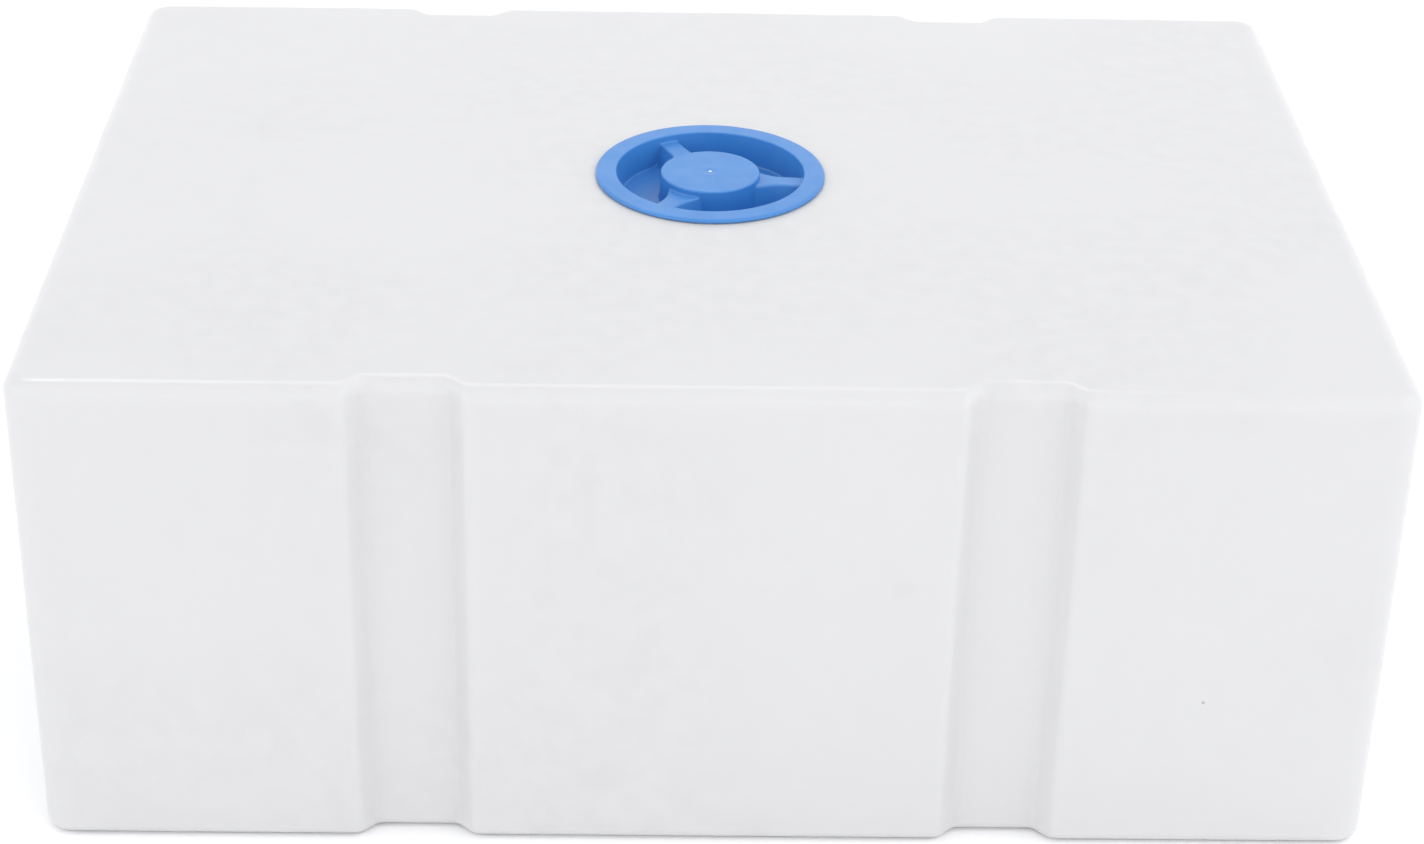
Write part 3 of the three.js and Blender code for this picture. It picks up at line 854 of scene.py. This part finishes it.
def washer_shape(name):
    low, high = box_mm(name + "_washer")
    outer = (high[1] - low[1]) / 2
    inner = outer - 3.2
    bottom = INSERT_FACE + GAP
    top = bottom + WASHER_THICKNESS
    corners = [(inner, bottom, 0.5), (outer, bottom, 0.7), (outer, top, 0.7), (inner, top, 0.5)]
    return loft(turned(rounded(corners), small_angles()), closed=True)


def plug_shape(name, pipe):
    """A hexagon head with a turned chamfer and a dished top, over a hollow threaded spigot."""
    angles = small_angles()
    low, high = box_mm(name + "_plug")
    across = high[1] - low[1]
    head_top = np.abs([low[0], high[0]]).max() - HALF_LENGTH
    seat = INSERT_FACE + GAP + WASHER_THICKNESS + GAP
    thread = pipe_thread(pipe)
    core = thread["core"]
    end = INSERT_FACE - SPIGOT_LENGTH
    hollow = core - PLUG_WALL
    sides = hexagon(across, angles, rounding=0.5)
    crown = across / 2 - 0.6
    chamfer = np.maximum(sides - crown, 0) * math.tan(math.radians(30))
    dish = 0.62 * crown
    rings = turned([(1.5, head_top - DISH_DEPTH), (dish - 3, head_top - DISH_DEPTH)], angles)
    face = [
        (dish - 2.4, head_top - DISH_DEPTH, 0),
        (dish - 1, head_top - DISH_DEPTH, 0.9),
        (dish, head_top, 0.7),
        (crown - 1, head_top, 0),
    ]
    rings += turned(rounded(face, closed=False), angles)
    rings.append(ring(np.minimum(sides, crown), head_top, angles))
    edge = 0.35
    for bend in bends():
        inset = edge * (1 - math.sin(bend))
        drop = chamfer + 0.15 + edge * (1 - math.cos(bend))
        rings.append(ring(np.minimum(sides - inset, crown + sides - sides.min()), head_top - drop, angles))
    for height in (head_top - 4, seat + 0.9):
        rings.append(ring(sides, np.minimum(head_top - chamfer - 0.6, height), angles))
    rings.append(ring(sides, seat + 0.5, angles))
    rings.append(ring(sides - 0.15, seat + 0.15, angles))
    rings.append(ring(sides - 0.5, seat, angles))
    root = [(core + 1.5, seat, 0), (core, seat, 0.4), (core, seat - 0.8, 0)]
    rings += turned(rounded(root, closed=False), angles)
    pitch = pipe["pitch"]
    heights = np.arange(seat - 0.9, end + 0.9, -pitch / THREAD_RINGS)
    rings += threaded(
        heights,
        core,
        thread["crest"] - core,
        angles,
        pitch=pitch,
        start=thread["start"],
        turns=MALE_TURNS,
        halves=[share * pitch for share in THREAD_SHARES],
        leadin=0.15,
    )
    roof = seat - 1
    tip = [(core, end + 0.88, 0), (core - 0.8, end, 0.3), (hollow, end, 0.5)]
    tip += [(hollow, roof, 0.8), (2, roof, 0)]
    rings += turned(rounded(tip, closed=False), angles)
    return loft(rings)


# ---------------------------------------------------------------- materials


class Look:
    """A material under construction: its shader, and short ways to add the nodes that vary it."""

    def __init__(self, name, roughness=0.5, **sockets):
        self.material = bpy.data.materials.new(name)
        self.material.use_nodes = True
        self.tree = self.material.node_tree
        self.shader = self.tree.nodes["Principled BSDF"]
        self.shader.inputs["Roughness"].default_value = roughness
        for socket, value in sockets.items():
            self.shader.inputs[socket.replace("_", " ")].default_value = value
        self.place = self.tree.nodes.new("ShaderNodeTexCoord").outputs["Object"]

    def link(self, a, b):
        self.tree.links.new(a, b)

    def noise(self, scale, detail=2.0, roughness=0.5, place=None):
        """Soft noise with this many cells to the metre."""
        made = self.tree.nodes.new("ShaderNodeTexNoise")
        made.inputs["Scale"].default_value = scale
        made.inputs["Detail"].default_value = detail
        made.inputs["Roughness"].default_value = roughness
        self.link(place or self.place, made.inputs["Vector"])
        return made.outputs["Fac"]

    def spots(self, scale, size):
        """1 in a scatter of round spots and 0 outside them."""
        cells = self.tree.nodes.new("ShaderNodeTexVoronoi")
        cells.inputs["Scale"].default_value = scale
        self.link(self.place, cells.inputs["Vector"])
        return self.span(cells.outputs["Distance"], size, size * 0.4)

    def spot(self, centre, radius):
        """1 at one point of the object and 0 past a radius, both in metres."""
        away = self.tree.nodes.new("ShaderNodeVectorMath")
        away.operation = "DISTANCE"
        self.link(self.place, away.inputs[0])
        away.inputs[1].default_value = centre
        return self.span(away.outputs["Value"], radius, radius * 0.3)

    def span(self, value, low, high, to_low=0.0, to_high=1.0):
        made = self.tree.nodes.new("ShaderNodeMapRange")
        made.interpolation_type = "SMOOTHSTEP"
        for socket, number in zip(("From Min", "From Max", "To Min", "To Max"), (low, high, to_low, to_high)):
            made.inputs[socket].default_value = number
        self.link(value, made.inputs["Value"])
        return made.outputs["Result"]

    def mix(self, share, a, b):
        """A colour between two, each a colour or a socket."""
        made = self.tree.nodes.new("ShaderNodeMix")
        made.data_type = "RGBA"
        self.link(share, made.inputs["Factor"])
        for socket, colour in zip(("A", "B"), (a, b)):
            target = [i for i in made.inputs if i.name == socket and i.type == "RGBA"][0]
            if isinstance(colour, tuple):
                target.default_value = (*colour, 1)
            else:
                self.link(colour, target)
        return [o for o in made.outputs if o.type == "RGBA"][0]

    def bump(self, height, depth, after=None):
        """A bump as deep as asked, in metres, on top of another."""
        made = self.tree.nodes.new("ShaderNodeBump")
        made.inputs["Strength"].default_value = 1.0
        made.inputs["Distance"].default_value = depth
        self.link(height, made.inputs["Height"])
        if after is not None:
            self.link(after, made.inputs["Normal"])
        return made.outputs["Normal"]

    def done(self, colour, normal, roughness=None):
        self.link(colour, self.shader.inputs["Base Color"])
        self.link(normal, self.shader.inputs["Normal"])
        if roughness is not None:
            self.link(roughness, self.shader.inputs["Roughness"])
        return self.material


def polyethylene():
    """Milky natural polyethylene: light goes a little way in, and the skin has a faint orange peel."""
    look = Look(
        "natural_polyethylene",
        Subsurface_Weight=0.25,
        Subsurface_Radius=(1.0, 1.0, 1.1),
        Subsurface_Scale=0.012,
        Specular_IOR_Level=0.45,
        IOR=1.51,
    )
    cloud = look.span(look.noise(4.0, detail=3.0), 0.35, 0.65)
    colour = look.mix(cloud, (0.563, 0.561, 0.567), (0.587, 0.585, 0.591))
    fine = look.span(look.noise(60.0, detail=4.0), 0.3, 0.7)
    colour = look.mix(fine, colour, (0.583, 0.581, 0.587))
    for centre, radius, shade in BLEMISHES:
        colour = look.mix(look.spot(centre, radius), colour, shade)
    specks = look.spots(3.0, 0.0025)
    colour = look.mix(specks, colour, (0.55, 0.53, 0.5))
    roughness = look.span(look.noise(25.0, detail=3.0), 0.3, 0.7, 0.29, 0.36)
    normal = look.bump(look.noise(16.0, detail=1.0), 0.0006)
    normal = look.bump(look.noise(160.0, detail=2.0), 0.00006, normal)
    return look.done(colour, normal, roughness)


def moulded_plastic(name, low, high, roughness, gate_and_highlight=None):
    """Moulded plastic: an even colour with faint flow, a fine satin grain and a pale dot at its gate, the
    gate's mark lightened into a painted highlight on its nub.
    """
    look = Look(name, IOR=1.52)
    colour = look.mix(look.span(look.noise(30.0, detail=3.0), 0.3, 0.7), low, high)
    if gate_and_highlight is not None:
        # The gate's mark, lightened into a painted highlight on the gate nub.
        colour = look.mix(look.spot(gate_and_highlight, GATE_AND_HIGHLIGHT_RADIUS * MM), colour, (0.74, 0.82, 0.91))
    gloss = look.span(look.noise(70.0, detail=3.0), 0.3, 0.7, roughness - 0.05, roughness + 0.05)
    normal = look.bump(look.noise(900.0, detail=2.0), 0.00003)
    return look.done(colour, normal, gloss)


def rubber():
    look = Look("black_rubber", Specular_IOR_Level=0.35)
    colour = look.mix(look.noise(120.0, detail=4.0), (0.016, 0.016, 0.017), (0.036, 0.036, 0.038))
    normal = look.bump(look.noise(1400.0, detail=3.0), 0.00006)
    return look.done(colour, normal, look.span(look.noise(200.0), 0.3, 0.7, 0.62, 0.8))


def turned_brass():
    """Brass turned on a lathe: fine rings about the piece's own axis, slightly dull and uneven."""
    look = Look("insert_brass", Metallic=1.0)
    flat = look.tree.nodes.new("ShaderNodeVectorMath")
    flat.operation = "MULTIPLY"
    flat.inputs[1].default_value = (1, 1, 0)
    look.link(look.place, flat.inputs[0])
    away = look.tree.nodes.new("ShaderNodeVectorMath")
    away.operation = "LENGTH"
    look.link(flat.outputs["Vector"], away.inputs[0])
    rings = look.noise(3200.0, detail=2.0, place=away.outputs["Value"])
    tarnish = look.span(look.noise(90.0, detail=4.0), 0.35, 0.7)
    colour = look.mix(tarnish, (0.79, 0.60, 0.28), (0.60, 0.43, 0.19))
    return look.done(colour, look.bump(rings, 0.00002), look.span(tarnish, 0, 1, 0.3, 0.44))


def pale_floor():
    look = Look("pale_floor", roughness=0.85, Specular_IOR_Level=0.2)
    colour = look.mix(look.noise(0.8, detail=2.0), (0.955, 0.955, 0.957), (0.98, 0.98, 0.982))
    return look.done(colour, look.bump(look.noise(30.0), 0.0001))


# Faint marks on the shell's front and top: (place and radius in metres, colour).
FRONT = -HALF_DEPTH * MM
BLEMISHES = [
    ((0.329, FRONT, 0.118), 0.0016, (0.32, 0.29, 0.26)),
    ((-0.245, FRONT, 0.331), 0.002, (0.58, 0.57, 0.56)),
    ((-0.109, FRONT, 0.196), 0.014, (0.571, 0.567, 0.573)),
    ((0.125, FRONT, 0.205), 0.011, (0.571, 0.567, 0.573)),
    ((-0.31, 0.16, HEIGHT * MM), 0.0012, (0.6, 0.58, 0.56)),
]


# ---------------------------------------------------------------- assembly


def build_tank():
    shell = polyethylene()
    white = moulded_plastic("white_polypropylene", (0.73, 0.735, 0.74), (0.78, 0.785, 0.79), 0.42)
    # The centre of the blue lid's pale gate dot, which paints the highlight on the gate nub.
    gate_and_highlight = (0, 0, HUB_TOP * MM)
    blue = moulded_plastic("blue_polypropylene", (0.034, 0.19, 0.515), (0.042, 0.206, 0.54), 0.38, gate_and_highlight)
    black = moulded_plastic("black_polypropylene", (0.022, 0.023, 0.025), (0.032, 0.033, 0.036), 0.45)
    seal, brass = rubber(), turned_brass()
    mesh_piece("tank_shell", tank_shell_shape(), shell, "tank")
    mesh_piece("neck_ring", neck_ring_shape(), white, "tank")
    mesh_piece("lid_gasket", gasket_shape(), seal, "lid_seal")
    mesh_piece("screw_lid", screw_lid_shape(), blue, "lid")
    for name in PORTS:
        side, y, z, barrel, pipe = port_sizes(name)
        wall = Matrix.Translation(Vector((side * HALF_LENGTH, y, z)) * MM)
        place = wall @ Matrix.Rotation(side * math.pi / 2, 4, "Y")
        plug = plug_shape(name, pipe)
        mesh_piece(f"{name}_insert", insert_shape(barrel, pipe), brass, "tank", place)
        mesh_piece(f"{name}_washer", washer_shape(name), seal, f"{name}_seal", place)
        mesh_piece(f"{name}_plug", plug, black, f"{name}_stopper", place)


# ---------------------------------------------------------------- floor, light and camera

CAMERA_PLACE = (-0.0464, -1.9778, 1.2586)
CAMERA_TURN = math.radians(-1.506)  # to the left of +Y
CAMERA_DOWN = math.radians(29.354)
CAMERA_ROLL = math.radians(1.384)
CAMERA_LENS = 76.171
SENSOR_WIDTH = 36.0
SKY = (1.55, 1.0)  # strength at the horizon and overhead
SIDES = (1.0, 0.96)  # share of it ahead and aside
EDGE_LIGHTS = [  # up and behind, where the front top edge mirrors them to the camera
    ("edge_light", (-0.2, 0.95, 2.5), (1.9, 0.14), 12),
    ("corner_light", (-1.0, 0.95, 2.45), (0.3, 0.14), 4),
]


def add_camera():
    data = bpy.data.cameras.new("camera")
    data.sensor_width = SENSOR_WIDTH
    data.lens = CAMERA_LENS
    data.clip_start, data.clip_end = 0.05, 60
    camera = bpy.data.objects.new("camera", data)
    aim = Matrix.Rotation(CAMERA_TURN, 4, "Z") @ Matrix.Rotation(math.pi / 2 - CAMERA_DOWN, 4, "X")
    camera.matrix_world = Matrix.Translation(CAMERA_PLACE) @ aim @ Matrix.Rotation(CAMERA_ROLL, 4, "Z")
    bpy.context.scene.collection.objects.link(camera)
    bpy.context.scene.camera = camera


def add_floor():
    half = 20.0
    mesh = bpy.data.meshes.new("floor")
    corners = [(-half, -half, 0), (half, -half, 0), (half, half, 0), (-half, half, 0)]
    mesh.from_pydata(corners, [], [(0, 1, 2, 3)])
    mesh.materials.append(pale_floor())
    floor = bpy.data.objects.new("floor", mesh)
    floor.location.z = -0.0005
    bpy.context.scene.collection.objects.link(floor)


def add_softbox(name, place, size, watts):
    """A rectangular area light that looks at the middle of the tank."""
    data = bpy.data.lights.new(name, "AREA")
    data.shape = "RECTANGLE"
    data.size, data.size_y = size
    data.energy = watts
    light = bpy.data.objects.new(name, data)
    light.location = place
    aim = Vector((0, 0, HEIGHT * MM / 2)) - Vector(place)
    light.rotation_euler = aim.to_track_quat("-Z", "Y").to_euler()
    bpy.context.scene.collection.objects.link(light)
    return light


class Sky:
    """The studio's white surroundings: a procedural strength for each direction."""

    def __init__(self):
        world = bpy.data.worlds.new("studio")
        world.use_nodes = True
        self.tree = world.node_tree
        self.background = self.tree.nodes["Background"]
        self.background.inputs["Color"].default_value = (0.985, 0.99, 1.0, 1)
        self.way = self.tree.nodes.new("ShaderNodeTexCoord").outputs["Generated"]
        bpy.context.scene.world = world

    def along(self, direction):
        """Cosine of the angle from a direction."""
        made = self.tree.nodes.new("ShaderNodeVectorMath")
        made.operation = "DOT_PRODUCT"
        made.inputs[1].default_value = Vector(direction).normalized()
        self.tree.links.new(self.way, made.inputs[0])
        return made.outputs["Value"]

    def math(self, operation, a, b=None):
        made = self.tree.nodes.new("ShaderNodeMath")
        made.operation = operation
        self.tree.links.new(a, made.inputs[0])
        if b is not None:
            self.tree.links.new(b, made.inputs[1])
        return made.outputs["Value"]

    def fade(self, value, low, high, to_low, to_high):
        made = self.tree.nodes.new("ShaderNodeMapRange")
        made.interpolation_type = "SMOOTHSTEP"
        for socket, number in zip(("From Min", "From Max", "To Min", "To Max"), (low, high, to_low, to_high)):
            made.inputs[socket].default_value = number
        self.tree.links.new(value, made.inputs["Value"])
        return made.outputs["Result"]

    def lamp(self, direction, inner, outer, strength):
        """A round soft source, whole within one angle and gone by the other, in degrees."""
        edges = (math.cos(math.radians(outer)), math.cos(math.radians(inner)))
        return self.fade(self.along(direction), *edges, 0.0, strength)

    def done(self, base, *lamps):
        for lamp in lamps:
            base = self.math("ADD", base, lamp)
        self.tree.links.new(base, self.background.inputs["Strength"])


def add_light():
    sky = Sky()
    # Dimmer overhead, so the lid's hollows stay deep, and to the sides, so the ends stand out from the front.
    height = sky.fade(sky.along((0, 0, 1)), 0.0, 1.0, *SKY)
    aside = sky.fade(sky.math("ABSOLUTE", sky.along((1, 0, 0))), 0.0, 1.0, *SIDES)
    sky.done(
        sky.math("MULTIPLY", height, aside),
        sky.lamp((-0.8, -0.55, 0.3), 8, 42, 0.6),
        sky.lamp((0.65, -0.7, 0.3), 8, 42, 0.3),
        sky.lamp((0.6, 0.0, 0.8), 10, 45, 0.6),
    )
    add_softbox("right_light", (1.5, -0.8, 1.9), (1.4, 1.2), 2)
    # Seen only in reflections: these draw the thin highlight along the front top edge.
    for name, place, size, watts in EDGE_LIGHTS:
        add_softbox(name, place, size, watts).visible_diffuse = False
    bpy.context.scene.view_settings.view_transform = "Standard"


build_tank()
add_floor()
add_light()
add_camera()
